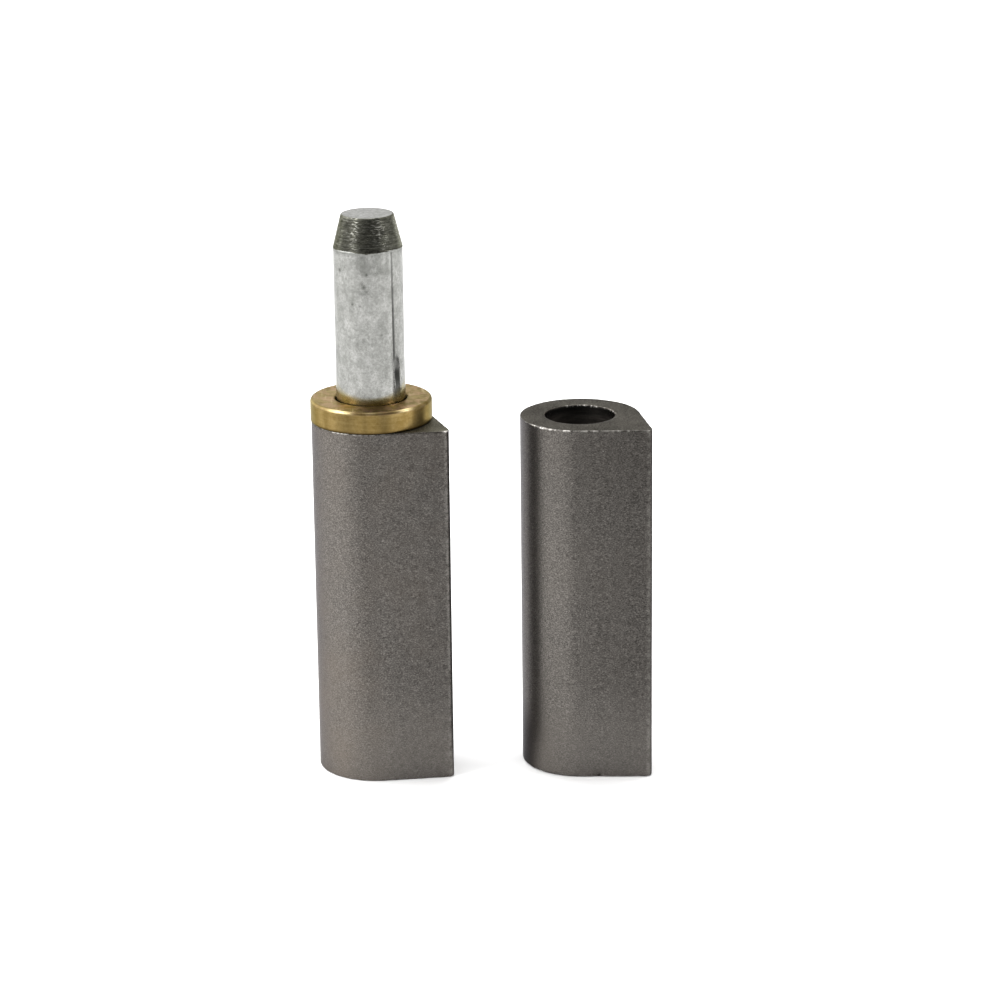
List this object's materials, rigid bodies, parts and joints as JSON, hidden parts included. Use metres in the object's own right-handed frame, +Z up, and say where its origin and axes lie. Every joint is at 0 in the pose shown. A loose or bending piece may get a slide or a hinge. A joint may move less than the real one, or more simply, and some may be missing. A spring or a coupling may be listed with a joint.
{
  "type": "weld-on barrel hinge",
  "caption": "Teardrop weld-on lift-off hinge, halves apart: bare steel pin half with plated pin and loose brass washer, beside its blind-bored socket half.",
  "frame": {"origin": "on the pin axis at the pin half's lower end face", "axes": "+Z up the pin; +X from the pin axis to the socket half's bore axis as stored; the noses point towards +X and -Y"},
  "size_m": [0.045, 0.0165, 0.0763],
  "materials": {
    "bare_steel": "bare drawn steel, tumbled satin with fine grain",
    "bare_steel_dark": "bare drawn steel, tumbled satin, a little darker",
    "zinc_plate": "zinc plated running length, bare turned cone",
    "brass": "turned brass, lightly scratched"
  },
  "bodies": {
    "pin_half": {"lower_barrel": "bare_steel", "pin": "zinc_plate"},
    "washer": {"brass_washer": "brass"},
    "socket_half": {"upper_barrel": "bare_steel_dark"}
  },
  "joints": [
    {"name": "washer_turn", "type": "hinge", "parent": "pin_half", "child": "washer", "pos_m": [0, 0, 0.05], "axis": [0, 0, 1], "continuous": true},
    {"name": "socket_swing", "type": "hinge", "parent": "pin_half", "child": "socket_half", "pos_m": [0.0277, 0, 0.0485], "axis": [0, 0, 1], "continuous": true}
  ]
}
